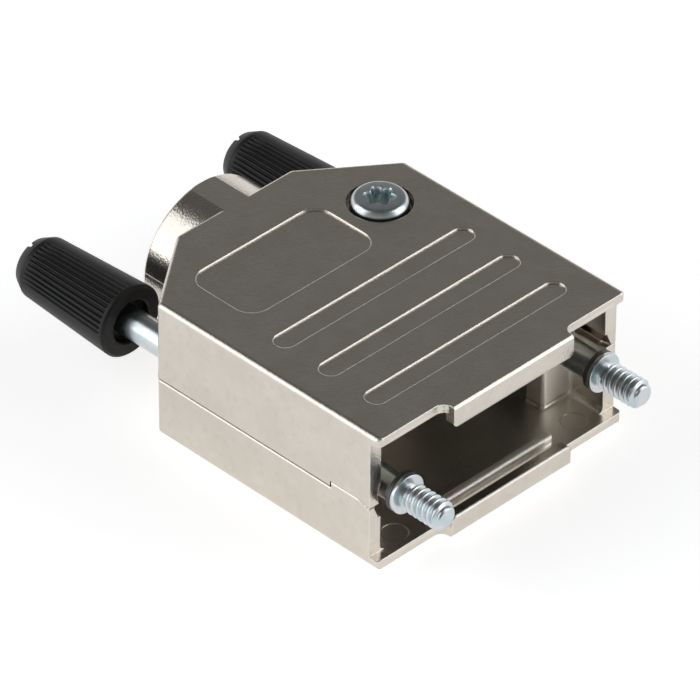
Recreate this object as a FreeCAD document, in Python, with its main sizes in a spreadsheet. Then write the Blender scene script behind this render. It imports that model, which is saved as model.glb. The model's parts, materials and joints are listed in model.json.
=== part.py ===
import FreeCAD, Part
import os
import re

import Sketcher

# Two-part metal hood for a nine-way D-sub connector, in millimetres.
# The origin is the centre of the mating face, midway between the two jackscrews.
# The mouth looks towards -Y, the cable leaves towards +Y, and +Z is up.

# Sizes of the whole hood
SIZES = {
    "jackscrew_spacing": 24.99,
    "side_margin": 3.105,
    "shell_height": 14.5,
    "shell_length": 34.1,
    "rear_bevel_run": 8.4,
    "rear_bevel_depth": 6.3,
    "plate_thickness": 0.95,
    "wall_thickness": 1.4,
    "rear_wall_thickness": 1.5,
    "wall_setback": 1.05,
    "edge_round": 0.45,
    "cavity_round": 0.6,
}

# Mouth: the lip that holds the connector flange and the rib that it seats on
SIZES.update({
    "lip_reach": 1.35,
    "lip_margin": 8.05,
    "lip_height": 2.2,
    "lip_depth": 1.05,
    "lip_corner_round": 0.5,
    "lip_root_round": 0.9,
    "lip_edge_bevel": 0.22,
    "rib_margin": 7.7,
    "rib_height": 0.95,
    "rib_thickness": 0.95,
    "rib_round": 0.25,
})

# Marks of the ejector pins inside the mouth
SIZES.update({
    "pin_mark_inset": 1.05,
    "pin_mark_station": 2.0,
    "pin_mark_radius": 1.25,
    "pin_mark_depth": 0.06,
})

# Parting line between the two halves
SIZES.update({
    "parting_drop": 1.21,
    "parting_clearance": 0.05,
    "parting_gap": 0.2,
    "parting_edge_bevel": 0.1,
    "tongue_width": 0.7,
    "tongue_tip": 0.2,
    "tongue_height": 1.15,
    "tab_start": 2.5,
    "tab_end": 6.0,
    "tab_rise": 0.72,
    "tab_front_rise": 0.3,
    "tab_clearance": 0.1,
    "tongue_start": 7.0,
    "tongue_margin": 1.8,
})

# Recesses in the outer face
SIZES.update({
    "recess_depth": 0.16,
    "grip_slot_side_margin": 3.3,
    "grip_slot_width": 2.2,
    "grip_slot_front_margin": 4.65,
    "grip_slot_label_gap": 4.4,
    "label_side_margin": 4.5,
    "label_screw_gap": 4.35,
    "label_length": 8.3,
    "label_rear_margin": 5.35,
    "label_corner": 2.0,
})

# Cable collar
SIZES.update({
    "collar_length": 4.3,
    "collar_flat": 3.0,
    "collar_step": 0.9,
    "collar_wall": 1.75,
    "collar_rim_round": 0.35,
    "collar_mouth_bevel": 0.4,
})

# Assembly screws, one from each side
SIZES.update({
    "screw_inset": 3.045,
    "screw_rear_margin": 9.25,
    "screw_shank": 2.76,
    "screw_engagement": 3.75,
    "screw_tip_bevel": 0.4,
    "screw_head": 5.5,
    "screw_head_height": 2.35,
    "screw_head_round": 1.25,
    "screw_fit": 0.04,
    "driver_core": 2.1,
    "driver_lobe": 0.8,
    "driver_depth": 1.2,
    "head_sink": 1.6,
    "head_gap": 0.35,
    "head_seat_thickness": 1.0,
    "head_boss_wall": 0.8,
    "boss_wall": 1.2,
    "post_hole_extra": 0.6,
})

# Jackscrews, their retaining rings and their thumb knobs
SIZES.update({
    "thread_diameter": 2.84,
    "thread_length": 4.78,
    "thread_bevel": 0.45,
    "shoulder_station": 0.69,
    "shoulder_diameter": 3.9,
    "shoulder_thickness": 0.45,
    "shoulder_bevel": 0.12,
    "shaft_diameter": 2.9,
    "shaft_grip": 9.2,
    "shoulder_room": 0.15,
    "groove_diameter": 2.4,
    "ring_thickness": 0.42,
    "ring_play": 0.03,
    "ring_fit": 0.05,
    "ring_mouth": 1.9,
    "notch_fit": 0.08,
    "cradle_station": 5.1,
    "cradle_thickness": 2.0,
    "cradle_reach": 1.9,
    "cradle_edge_round": 0.4,
    "cradle_root_round": 0.3,
    "knob_length": 12.7,
    "left_knob_gap": 1.63,
    "right_knob_gap": 0.33,
    "knob_diameter": 7.3,
    "knob_rear_diameter": 6.2,
    "knob_band": 0.5,
    "knob_edge_bevel": 0.25,
    "knob_nose_length": 1.2,
    "knob_nose_diameter": 4.9,
    "knob_recess_diameter": 4.5,
    "knob_recess_depth": 1.0,
    "knob_bore_end": 0.3,
    "knob_fit": 0.02,
    "knob_slot_width": 0.9,
    "knob_slot_depth": 1.1,
    "knob_slot_angle": 16.0,
    "flute_width": 0.28,
    "flute_depth": 0.26,
    "flute_pitch_angle": 8.4,
    "flute_rear_margin": 0.5,
})

# Cable clamp inside the rear of the hood
SIZES.update({
    "clamp_rear_margin": 4.7,
    "clamp_width": 3.5,
    "clamp_ear_reach": 4.2,
    "clamp_gap": 1.2,
    "clamp_bore": 8.0,
    "clamp_wall": 1.0,
    "clamp_ear_height": 2.0,
    "clamp_screw_reach": 2.4,
    "clamp_screw_diameter": 2.0,
    "clamp_screw_length": 6.0,
    "clamp_screw_head": 3.6,
    "clamp_screw_head_height": 1.4,
    "clamp_screw_slot": 0.5,
    "clamp_screw_slot_depth": 0.6,
    "clamp_hole_fit": 0.1,
    "clamp_rib_span": 10.0,
    "clamp_rib_thickness": 0.8,
    "clamp_rib_height": 2.0,
    "clamp_pad_span": 5.0,
    "clamp_seat_gap": 0.05,
})

FLUTES_PER_SECTOR = 11
GRIP_SLOTS = 3
DRIVER_LOBES = 6

# Places worked out from the sizes
JACK_X = "(jackscrew_spacing / 2)"
HALF_WIDTH = "(jackscrew_spacing / 2 + side_margin)"
HALF_HEIGHT = "(shell_height / 2)"
WALL_FRONT = "(lip_reach + wall_setback)"
REAR = "(lip_reach + shell_length)"
SIDE_END = f"({REAR} - rear_bevel_depth)"
REAR_HALF = f"({HALF_WIDTH} - rear_bevel_run)"
CEILING = "(shell_height / 2 - plate_thickness)"
WALL_INNER = f"({HALF_WIDTH} - wall_thickness)"
BEVEL_SLANT = "sqrt(rear_bevel_run^2 + rear_bevel_depth^2)"
SIDE_INNER_END = f"({SIDE_END} - wall_thickness * ({BEVEL_SLANT} - rear_bevel_depth) / rear_bevel_run)"
REAR_INNER = f"({REAR} - rear_wall_thickness)"
REAR_INNER_HALF = (f"({REAR_HALF} + (rear_bevel_run * rear_wall_thickness"
                   f" - {BEVEL_SLANT} * wall_thickness) / rear_bevel_depth)")
LIP_HALF = f"({HALF_WIDTH} - lip_margin)"
LABEL_FRONT = f"({REAR} - label_rear_margin - label_length)"
GRIP_FIRST = "(lip_reach + grip_slot_front_margin)"
COLLAR_RADIUS = "sqrt((shell_height / 2)^2 + (collar_flat / 2)^2)"
COLLAR_SIDE = f"sqrt({COLLAR_RADIUS}^2 - collar_step^2)"
COLLAR_BORE = "(shell_height / 2 - collar_wall)"
SCREW_X = f"({JACK_X} - screw_inset)"
SCREW_Y = f"({REAR} - screw_rear_margin)"
SEAT_HEIGHT = "(shell_height / 2 - head_sink)"
SCREW_LENGTH = f"({SEAT_HEIGHT} + screw_engagement)"
SHAFT_NOTCH = "(shaft_diameter / 2 + notch_fit)"
CRADLE_FRONT = "(lip_reach + cradle_station)"
BEVEL_AT_KNOB = f"({SIDE_END} + (side_margin + knob_diameter / 2) * rear_bevel_depth / rear_bevel_run)"
SHAFT_END = f"({BEVEL_AT_KNOB} + left_knob_gap + shaft_grip)"
CLAMP_Y = f"({REAR} - clamp_rear_margin)"
CLAMP_TOP = "(clamp_bore / 2 + clamp_wall)"
CLAMP_HALF = "(clamp_bore / 2 + clamp_ear_reach)"
CLAMP_SCREW_X = "(clamp_bore / 2 + clamp_screw_reach)"

doc = FreeCAD.newDocument("dsub_hood")
sheet = doc.addObject("Spreadsheet::Sheet", "Sizes")
for row, (alias, size) in enumerate(SIZES.items(), start=1):
    sheet.set(f"A{row}", alias)
    sheet.set(f"B{row}", str(size))
    sheet.setAlias(f"B{row}", alias)
doc.recompute()


def named(formula):
    """Point each size that a formula names at its cell in the sheet."""
    return re.sub(r"[a-z][a-z_]+", lambda word: f"Sizes.{word[0]}" if word[0] in SIZES else word[0], formula)


def value(formula):
    """Give a formula's present value."""
    return float(sheet.evalExpression(named(formula)))


def bind(thing, size, formula):
    """Drive one size of an object by a formula on the sheet."""
    thing.setExpression(size, named(formula))


def new_body(label):
    body = doc.addObject("PartDesign::Body", label)
    body.Label = label
    return body


def sketch_on(body, label, role, offset="0"):
    """Start a sketch on one of the body's own planes, moved along the plane's normal."""
    sketch = body.newObject("Sketcher::SketchObject", label)
    plane = [feature for feature in body.Origin.OriginFeatures if feature.Role == role][0]
    sketch.AttachmentSupport = (plane, [""])
    sketch.MapMode = "FlatFace"
    bind(sketch, "AttachmentOffset.Base.z", offset)
    return sketch


def limit(sketch, constraint, formula):
    """Add a dimension to a sketch and drive it by a formula."""
    number = sketch.addConstraint(constraint)
    bind(sketch, f"Constraints[{number}]", formula)


def pin(sketch, curve, point, x, y):
    """Hold a point of a curve at x, y; a plain zero puts it on the axis."""
    for axis, kind, place in ((-2, "DistanceX", x), (-1, "DistanceY", y)):
        if place == "0":
            sketch.addConstraint(Sketcher.Constraint("PointOnObject", curve, point, axis))
        else:
            limit(sketch, Sketcher.Constraint(kind, -1, 1, curve, point, value(place)), place)


def spot(x, y):
    return FreeCAD.Vector(value(x), value(y), 0)


def polygon(sketch, corners):
    """Draw a closed outline of straight lines through corners given as formulas."""
    points = [spot(x, y) for x, y in corners]
    lines = [sketch.addGeometry(Part.LineSegment(here, there), False)
             for here, there in zip(points, points[1:] + points[:1])]
    for line, following in zip(lines, lines[1:] + lines[:1]):
        sketch.addConstraint(Sketcher.Constraint("Coincident", line, 2, following, 1))
    for line, (x, y) in zip(lines, corners):
        pin(sketch, line, 1, x, y)


def rectangle(sketch, left, right, low, high):
    polygon(sketch, [(left, low), (right, low), (right, high), (left, high)])


def circle(sketch, x, y, radius):
    curve = sketch.addGeometry(Part.Circle(spot(x, y), FreeCAD.Vector(0, 0, 1), value(radius)), False)
    pin(sketch, curve, 3, x, y)
    limit(sketch, Sketcher.Constraint("Radius", curve, value(radius)), radius)


def arc(sketch, x, y, radius, start, end):
    """Draw an arc anticlockwise between two angles in degrees and hold its centre and radius."""
    whole = Part.Circle(spot(x, y), FreeCAD.Vector(0, 0, 1), value(radius))
    turn = FreeCAD.Units.Quantity("1 deg").getValueAs("rad").Value
    curve = sketch.addGeometry(Part.ArcOfCircle(whole, start * turn, end * turn), False)
    pin(sketch, curve, 3, x, y)
    limit(sketch, Sketcher.Constraint("Radius", curve, value(radius)), radius)
    return curve


def long_slot(sketch, half_length, y, radius):
    """Draw a slot with round ends, centred on x = 0."""
    reach = f"({half_length} - {radius})"
    right = arc(sketch, reach, y, radius, -90, 90)
    left = arc(sketch, f"-{reach}", y, radius, 90, 270)
    top = sketch.addGeometry(Part.LineSegment(spot(reach, f"{y} + {radius}"),
                                              spot(f"-{reach}", f"{y} + {radius}")), False)
    low = sketch.addGeometry(Part.LineSegment(spot(f"-{reach}", f"{y} - {radius}"),
                                              spot(reach, f"{y} - {radius}")), False)
    for curve, end, other, start in ((right, 2, top, 1), (top, 2, left, 1), (left, 2, low, 1), (low, 2, right, 1)):
        sketch.addConstraint(Sketcher.Constraint("Tangent", curve, end, other, start))


def extrude(body, kind, sketch, length, reverse, symmetric):
    feature = body.newObject(kind, f"{sketch.Label}_{kind[12:].lower()}")
    feature.Profile = sketch
    bind(feature, "Length", length)
    feature.Reversed = reverse
    if symmetric:
        feature.SideType = "Symmetric"
    before = 0.0 if body.Shape.isNull() else body.Shape.Volume
    doc.recompute()
    return feature, body.Shape.Volume - before


def pad(body, sketch, length, reverse=False, symmetric=False):
    """Add the sketch's area, along the plane's normal or against it."""
    feature, change = extrude(body, "PartDesign::Pad", sketch, length, reverse, symmetric)
    if change <= 0:
        raise RuntimeError(f"{body.Label}: {sketch.Label} adds nothing")
    return feature


def pocket(body, sketch, length, reverse=False, symmetric=False):
    """Cut the sketch's area, against the plane's normal or along it."""
    feature, change = extrude(body, "PartDesign::Pocket", sketch, length, reverse, symmetric)
    if change >= 0:
        raise RuntimeError(f"{body.Label}: {sketch.Label} cuts nothing")
    return feature


def revolve(body, sketch):
    """Turn a half profile round the sketch's own upright axis."""
    feature = body.newObject("PartDesign::Revolution", f"{sketch.Label}_turned")
    feature.Profile = sketch
    feature.ReferenceAxis = (sketch, ["V_Axis"])
    feature.Angle = 360
    doc.recompute()
    return feature


def groove(body, sketch):
    """Cut the area swept by a half profile that turns round the sketch's own upright axis."""
    before = body.Shape.Volume
    feature = body.newObject("PartDesign::Groove", f"{sketch.Label}_groove")
    feature.Profile = sketch
    feature.ReferenceAxis = (sketch, ["V_Axis"])
    feature.Angle = 360
    doc.recompute()
    if body.Shape.Volume >= before:
        raise RuntimeError(f"{body.Label}: {sketch.Label} cuts nothing")
    return feature


def repeat(body, feature, axis, angle, count):
    """Copy a feature round one of the body's own axes; the first copy is the feature itself."""
    pattern = body.newObject("PartDesign::PolarPattern", f"{feature.Label}_pattern")
    pattern.Originals = [feature]
    line = [item for item in body.Origin.OriginFeatures if item.Role == axis][0]
    pattern.Axis = (line, [""])
    pattern.Occurrences = count
    pattern.Reversed = True
    bind(pattern, "Angle", angle)
    body.Tip = pattern
    doc.recompute()
    return pattern


def edges(body, wanted):
    """Name the edges of the body whose middle point and box pass a test."""
    names = []
    for number, edge in enumerate(body.Shape.Edges, start=1):
        middle = edge.valueAt((edge.FirstParameter + edge.LastParameter) / 2)
        if wanted(middle, edge.BoundBox):
            names.append(f"Edge{number}")
    if not names:
        raise RuntimeError(f"{body.Label}: no edge to dress")
    return names


def dress(body, kind, label, wanted, size):
    """Round or bevel the edges that pass a test."""
    base, names = body.Tip, edges(body, wanted)
    feature = body.newObject(kind, label)
    feature.Base = (base, names)
    bind(feature, "Radius" if kind.endswith("Fillet") else "Size", size)
    doc.recompute()
    if not feature.isValid():
        raise RuntimeError(f"{body.Label}: {label} cannot be worked out")
    return feature


def near(one, other):
    return abs(one - other) < 0.01


def outer_block(body):
    """Half of the outer block, with its long edges and corners rounded."""
    plan = sketch_on(body, "plan", "XY_Plane")
    polygon(plan, [
        (f"-{HALF_WIDTH}", "lip_reach"), (HALF_WIDTH, "lip_reach"), (HALF_WIDTH, SIDE_END),
        (REAR_HALF, REAR), (f"-{REAR_HALF}", REAR), (f"-{HALF_WIDTH}", SIDE_END)])
    pad(body, plan, HALF_HEIGHT)
    top, front = value(HALF_HEIGHT), value("lip_reach")

    def outline(middle, box):
        on_top = near(box.ZMin, top)
        upright = near(box.XLength, 0) and near(box.YLength, 0)
        return upright or (on_top and middle.y > front + 0.01)

    dress(body, "PartDesign::Fillet", "outer_rounding", outline, "edge_round")


def cavity(body):
    """Hollow the half, round its inner corners and set the side walls back from the plate's edge."""
    hollow = sketch_on(body, "hollow", "XY_Plane")
    polygon(hollow, [
        (f"-{WALL_INNER}", "lip_reach"), (WALL_INNER, "lip_reach"), (WALL_INNER, SIDE_INNER_END),
        (REAR_INNER_HALF, REAR_INNER), (f"-{REAR_INNER_HALF}", REAR_INNER), (f"-{WALL_INNER}", SIDE_INNER_END)])
    pocket(body, hollow, CEILING, reverse=True)
    ceiling, front = value(CEILING), value("lip_reach")

    def inner_corner(middle, box):
        return near(box.ZMin, ceiling) and near(box.ZMax, ceiling) and middle.y > front + 0.01

    dress(body, "PartDesign::Fillet", "inner_rounding", inner_corner, "cavity_round")
    setback = sketch_on(body, "setback", "XY_Plane")
    rectangle(setback, f"-{HALF_WIDTH} - wall_thickness", f"{HALF_WIDTH} + wall_thickness", "lip_reach", WALL_FRONT)
    pocket(body, setback, CEILING, reverse=True)


def mouth(body):
    """The hooked lip in front of the connector flange and the rib behind it."""
    plate = sketch_on(body, "lip_plate", "XY_Plane", CEILING)
    half, root = LIP_HALF, f"({LIP_HALF} + lip_root_round)"
    root_y = "(lip_reach - lip_root_round)"
    right = arc(plate, root, root_y, "lip_root_round", 90, 180)
    left = arc(plate, f"-{root}", root_y, "lip_root_round", 0, 90)
    corners = [(half, root_y), (half, "0"), (f"-{half}", "0"), (f"-{half}", root_y)]
    right_side, face, left_side = [plate.addGeometry(Part.LineSegment(spot(*here), spot(*there)), False)
                                   for here, there in zip(corners, corners[1:])]
    corners = [(f"-{root}", "lip_reach"), (f"-{root}", WALL_FRONT), (root, WALL_FRONT), (root, "lip_reach")]
    left_end, back, right_end = [plate.addGeometry(Part.LineSegment(spot(*here), spot(*there)), False)
                                 for here, there in zip(corners, corners[1:])]
    for kind, curve, end, following, start in (
            ("Tangent", right, 2, right_side, 1), ("Coincident", right_side, 2, face, 1),
            ("Coincident", face, 2, left_side, 1), ("Tangent", left_side, 2, left, 1),
            ("Coincident", left, 2, left_end, 1), ("Coincident", left_end, 2, back, 1),
            ("Coincident", back, 2, right_end, 1), ("Coincident", right_end, 2, right, 1)):
        plate.addConstraint(Sketcher.Constraint(kind, curve, end, following, start))
    pin(plate, face, 1, half, "0")
    pin(plate, face, 2, f"-{half}", "0")
    pin(plate, back, 1, f"-{root}", WALL_FRONT)
    pin(plate, back, 2, root, WALL_FRONT)
    plate.addConstraint(Sketcher.Constraint("Vertical", left_end))
    plate.addConstraint(Sketcher.Constraint("Vertical", right_end))
    pad(body, plate, "plate_thickness")

    hook = sketch_on(body, "lip_hook", "XZ_Plane")
    rectangle(hook, f"-{half}", half, f"{HALF_HEIGHT} - lip_height", HALF_HEIGHT)
    pad(body, hook, "lip_depth", reverse=True)
    side, top, low = value(half), value(HALF_HEIGHT), value(f"{HALF_HEIGHT} - lip_height")

    def hook_corner(middle, box):
        return near(abs(middle.x), side) and near(box.ZMin, low) and near(box.ZMax, low)

    def leading_edge(middle, box):
        return near(middle.y, 0) and near(box.ZMin, top)

    dress(body, "PartDesign::Fillet", "lip_corner", hook_corner, "lip_corner_round")
    dress(body, "PartDesign::Chamfer", "lip_edge", leading_edge, "lip_edge_bevel")
    rib = sketch_on(body, "flange_rib", "XY_Plane", f"{CEILING} - rib_height")
    long_slot(rib, f"({HALF_WIDTH} - rib_margin)", f"({WALL_FRONT} + rib_thickness / 2)", "(rib_thickness / 2)")
    pad(body, rib, "rib_height + plate_thickness / 2")
    crest, start = value(f"{CEILING} - rib_height"), value(WALL_FRONT)

    def rib_crest(middle, box):
        return near(box.ZMin, crest) and near(box.ZMax, crest) and middle.y > start - 0.01

    dress(body, "PartDesign::Fillet", "rib_rounding", rib_crest, "rib_round")


def collar(body):
    """The cable collar: round, flat on top, with its parting line stepped up on one side."""
    relief = sketch_on(body, "collar_relief", "XZ_Plane", f"-{REAR_INNER}")
    rectangle(relief, f"-{COLLAR_RADIUS}", "0", "0", "collar_step")
    pocket(body, relief, "rear_wall_thickness + collar_length")

    ring = sketch_on(body, "collar", "XZ_Plane", f"-{REAR_INNER}")
    radius, half, step = value(COLLAR_RADIUS), value(HALF_HEIGHT), value("collar_step")
    degree = FreeCAD.Units.Quantity("1 rad").getValueAs("deg").Value
    strip = value("collar_flat / 2")
    start, end = -step / radius * degree, 90 - strip / radius * degree
    right = arc(ring, "0", "0", COLLAR_RADIUS, start, end)
    left = arc(ring, "0", "0", COLLAR_RADIUS, 180 - end, 180 + start)
    corners = [("collar_flat / 2", HALF_HEIGHT), ("-collar_flat / 2", HALF_HEIGHT),
               (f"-{COLLAR_SIDE}", "collar_step"), ("0", "collar_step"), ("0", "-collar_step"),
               (COLLAR_SIDE, "-collar_step")]
    flat, across, middle, back = [
        ring.addGeometry(Part.LineSegment(spot(*corners[one]), spot(*corners[one + 1])), False)
        for one in (0, 2, 3, 4)]
    chain = [(right, 2, flat, 1), (flat, 2, left, 1), (left, 2, across, 1), (across, 2, middle, 1),
             (middle, 2, back, 1), (back, 2, right, 1)]
    for curve, curve_end, following, following_end in chain:
        ring.addConstraint(Sketcher.Constraint("Coincident", curve, curve_end, following, following_end))
    pin(ring, middle, 1, "0", "collar_step")
    pin(ring, middle, 2, "0", "-collar_step")
    limit(ring, Sketcher.Constraint("DistanceY", -1, 1, flat, 1, half), HALF_HEIGHT)
    ring.addConstraint(Sketcher.Constraint("Horizontal", flat))
    ring.addConstraint(Sketcher.Constraint("Horizontal", across))
    ring.addConstraint(Sketcher.Constraint("Horizontal", back))
    pad(body, ring, "rear_wall_thickness + collar_length", reverse=True)
    rim = f"({REAR} + collar_length)"
    rounding = sketch_on(body, "collar_rim", "XY_Plane")
    centre = f"({COLLAR_RADIUS} - collar_rim_round)"
    outside = f"({COLLAR_RADIUS} + wall_thickness)"
    corner = arc(rounding, centre, f"{rim} - collar_rim_round", "collar_rim_round", 0, 90)
    corners = [(centre, rim), (centre, f"{rim} + wall_thickness"), (outside, f"{rim} + wall_thickness"),
               (outside, f"{rim} - collar_rim_round"), (COLLAR_RADIUS, f"{rim} - collar_rim_round")]
    inner, top, outer, low = [
        rounding.addGeometry(Part.LineSegment(spot(*here), spot(*there)), False)
        for here, there in zip(corners, corners[1:])]
    chain = [(corner, 2, inner, 1), (inner, 2, top, 1), (top, 2, outer, 1), (outer, 2, low, 1), (low, 2, corner, 1)]
    for curve, curve_end, following, following_end in chain:
        rounding.addConstraint(Sketcher.Constraint("Coincident", curve, curve_end, following, following_end))
    pin(rounding, top, 1, centre, f"{rim} + wall_thickness")
    pin(rounding, outer, 1, outside, f"{rim} + wall_thickness")
    pin(rounding, low, 1, outside, f"{rim} - collar_rim_round")
    rounding.addConstraint(Sketcher.Constraint("Vertical", inner))
    rounding.addConstraint(Sketcher.Constraint("Horizontal", low))
    groove(body, rounding)
    bore = sketch_on(body, "cable_bore", "XY_Plane")
    mouth_radius = f"{COLLAR_BORE} + collar_mouth_bevel"
    start = f"{REAR_INNER} - wall_thickness"
    polygon(bore, [
        ("0", start), (COLLAR_BORE, start), (COLLAR_BORE, f"{rim} - collar_mouth_bevel"),
        (mouth_radius, rim), (mouth_radius, f"{rim} + wall_thickness"), ("0", f"{rim} + wall_thickness")])
    groove(body, bore)


def cradles(body):
    """Blocks inside the mouth that carry the jackscrews."""
    inner, outer = f"({JACK_X} - cradle_reach)", f"({WALL_INNER} + wall_thickness / 2)"
    for label, near_x, far_x in (("left_cradle", f"-{outer}", f"-{inner}"), ("right_cradle", inner, outer)):
        block = sketch_on(body, label, "XY_Plane")
        rectangle(block, near_x, far_x, CRADLE_FRONT, f"{CRADLE_FRONT} + cradle_thickness")
        pad(body, block, f"{CEILING} + plate_thickness / 2")
    front, side, ceiling = value(CRADLE_FRONT), value(inner), value(CEILING)

    def front_corner(middle, box):
        upright = near(box.XLength, 0) and near(box.YLength, 0)
        return upright and near(middle.y, front) and near(abs(middle.x), side)

    def root(middle, box):
        level = near(box.ZMin, ceiling) and near(box.ZMax, ceiling)
        return level and near(middle.y, front) and side < abs(middle.x)

    dress(body, "PartDesign::Fillet", "cradle_corner", front_corner, "cradle_edge_round")
    dress(body, "PartDesign::Fillet", "cradle_root", root, "cradle_root_round")


def pin_marks(body):
    """Shallow round marks left by the ejector pins, in front of the cradles."""
    for side, sign in (("left", "-"), ("right", "")):
        mark = sketch_on(body, f"{side}_pin_mark", "XY_Plane", CEILING)
        circle(mark, f"{sign}({JACK_X} - pin_mark_inset)", "lip_reach + pin_mark_station", "pin_mark_radius")
        pocket(body, mark, "pin_mark_depth", reverse=True)


def bosses(body):
    """The head boss on the right and the threaded post on the left."""
    hole = "(screw_shank / 2 + screw_fit)"
    for label, x in (("head_boss_stem", SCREW_X), ("screw_post", f"-{SCREW_X}")):
        stem = sketch_on(body, label, "XY_Plane")
        circle(stem, x, SCREW_Y, f"{hole} + boss_wall")
        pad(body, stem, f"{CEILING} + plate_thickness / 2")
    head_boss = sketch_on(body, "head_boss", "XY_Plane", f"{SEAT_HEIGHT} - head_seat_thickness")
    circle(head_boss, SCREW_X, SCREW_Y, "screw_head / 2 + head_gap + head_boss_wall")
    pad(body, head_boss, "head_seat_thickness + head_sink - plate_thickness / 2")
    sink = sketch_on(body, "head_sink", "XY_Plane", HALF_HEIGHT)
    circle(sink, SCREW_X, SCREW_Y, "screw_head / 2 + head_gap")
    pocket(body, sink, "head_sink")
    through = sketch_on(body, "screw_hole", "XY_Plane")
    circle(through, SCREW_X, SCREW_Y, hole)
    pocket(body, through, HALF_HEIGHT, reverse=True)
    blind = sketch_on(body, "thread_hole", "XY_Plane")
    circle(blind, f"-{SCREW_X}", SCREW_Y, hole)
    pocket(body, blind, "screw_engagement + post_hole_extra", reverse=True)


def clamp_seat(body):
    """Two ribs and a pad that hold the cable clamp in front of the rear wall."""
    half = "(clamp_width / 2 + clamp_seat_gap)"
    for label, low, high in (
            ("front_clamp_rib", f"{CLAMP_Y} - {half} - clamp_rib_thickness", f"{CLAMP_Y} - {half}"),
            ("rear_clamp_rib", f"{CLAMP_Y} + {half}", f"{CLAMP_Y} + {half} + clamp_rib_thickness")):
        rib = sketch_on(body, label, "XY_Plane", f"{CEILING} - clamp_rib_height")
        rectangle(rib, "-clamp_rib_span / 2", "clamp_rib_span / 2", low, high)
        pad(body, rib, "clamp_rib_height + plate_thickness / 2")
    rest = sketch_on(body, "clamp_pad", "XY_Plane", f"{CLAMP_TOP} + clamp_seat_gap")
    rectangle(rest, "-clamp_pad_span / 2", "clamp_pad_span / 2", f"{CLAMP_Y} - {half} - clamp_rib_thickness / 2",
              f"{CLAMP_Y} + {half} + clamp_rib_thickness / 2")
    pad(body, rest, f"{CEILING} + plate_thickness / 2 - {CLAMP_TOP} - clamp_seat_gap")


def shaft_notches(body):
    """Half-round notches, through everything the jackscrews pass, and room for a shoulder in the tall wall."""
    for side, x in (("left", f"-{JACK_X}"), ("right", JACK_X)):
        notch = sketch_on(body, f"{side}_notch", "XZ_Plane", "-lip_reach")
        circle(notch, x, "0", SHAFT_NOTCH)
        pocket(body, notch, "shell_length")
    room = sketch_on(body, "shoulder_room", "XZ_Plane", "-lip_reach")
    circle(room, f"-{JACK_X}", "0", "shoulder_diameter / 2 + shoulder_room")
    pocket(body, room, "cradle_station")


def parting(body):
    """The stepped parting line: a tall wall on the left and a short one on the right."""
    inner = f"({WALL_INNER} + parting_clearance)"
    tall = sketch_on(body, "tall_wall", "XY_Plane")
    polygon(tall, [(f"-{HALF_WIDTH}", WALL_FRONT), (f"-{inner}", WALL_FRONT),
                   (f"-{inner}", SIDE_INNER_END), (f"-{HALF_WIDTH}", SIDE_END)])
    pad(body, tall, "parting_drop - parting_gap", reverse=True)
    short = sketch_on(body, "short_wall", "XY_Plane")
    polygon(short, [(f"{HALF_WIDTH} + wall_thickness", WALL_FRONT), (WALL_INNER, WALL_FRONT),
                    (WALL_INNER, SIDE_INNER_END), (HALF_WIDTH, SIDE_END),
                    (f"{HALF_WIDTH} + wall_thickness", SIDE_END)])
    pocket(body, short, "parting_drop", reverse=True)

    # The tab on the short wall and the notch that it fills in the tall one
    gap = "tab_clearance"
    tab = sketch_on(body, "tab", "YZ_Plane", f"{WALL_INNER}")
    polygon(tab, [
        (f"lip_reach + tab_end - {gap}", "parting_drop"), (WALL_FRONT, "parting_drop"),
        (WALL_FRONT, f"parting_drop - tab_front_rise + {gap}"),
        ("lip_reach + tab_start", f"parting_drop - tab_rise + {gap}"),
        (f"lip_reach + tab_end - {gap}", f"parting_drop - tab_rise + {gap}")])
    pad(body, tab, "wall_thickness")
    slot = sketch_on(body, "tab_notch", "YZ_Plane", f"-{HALF_WIDTH} - wall_thickness")
    polygon(slot, [
        ("lip_reach + tab_end", "-parting_drop - tongue_height"), ("lip_reach", "-parting_drop - tongue_height"),
        ("lip_reach", "-parting_drop + tab_front_rise"), (WALL_FRONT, "-parting_drop + tab_front_rise"),
        ("lip_reach + tab_start", "-parting_drop + tab_rise"), ("lip_reach + tab_end", "-parting_drop + tab_rise")])
    pocket(body, slot, "wall_thickness * 2 + parting_clearance", reverse=True)

    # The tongue inside the tall wall and the slanted seat that it fills in the short one
    tongue = sketch_on(body, "tongue", "XZ_Plane", "-lip_reach - tongue_start")
    polygon(tongue, [
        (f"-{inner}", "parting_gap - parting_drop"), (f"-{inner}", "-parting_drop - tongue_height"),
        (f"-{WALL_INNER} - tongue_tip", "-parting_drop - tongue_height"),
        (f"-{WALL_INNER} - tongue_width", "parting_gap - parting_drop")])
    pad(body, tongue, f"{SIDE_END} - tongue_margin - lip_reach - tongue_start", reverse=True)
    fit = "parting_clearance"
    slope = "(tongue_width - tongue_tip) / tongue_height"
    seat = sketch_on(body, "tongue_seat", "XZ_Plane", "-lip_reach")
    polygon(seat, [
        (WALL_INNER, f"parting_drop + tongue_height + {fit}"),
        (f"{WALL_INNER} + tongue_tip + {fit}", f"parting_drop + tongue_height + {fit}"),
        (f"{WALL_INNER} + tongue_width + {fit} + {slope} * (tab_rise + {fit})", "parting_drop - tab_rise"),
        (WALL_INNER, "parting_drop - tab_rise")])
    pocket(body, seat, f"{SIDE_END} - lip_reach - tongue_margin + parting_clearance")

    # The bevelled outer edge of the short wall and its tab
    side, low, start = value(HALF_WIDTH), value("parting_drop"), value(WALL_FRONT)
    stop = value(f"{SIDE_END} - edge_round")

    def outer_edge(middle, box):
        outside = near(box.XMin, side) and near(box.XMax, side)
        return outside and start < middle.y < stop and box.ZMax < low + 0.01 and middle.z > 0

    dress(body, "PartDesign::Chamfer", "parting_edge", outer_edge, "parting_edge_bevel")


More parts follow.
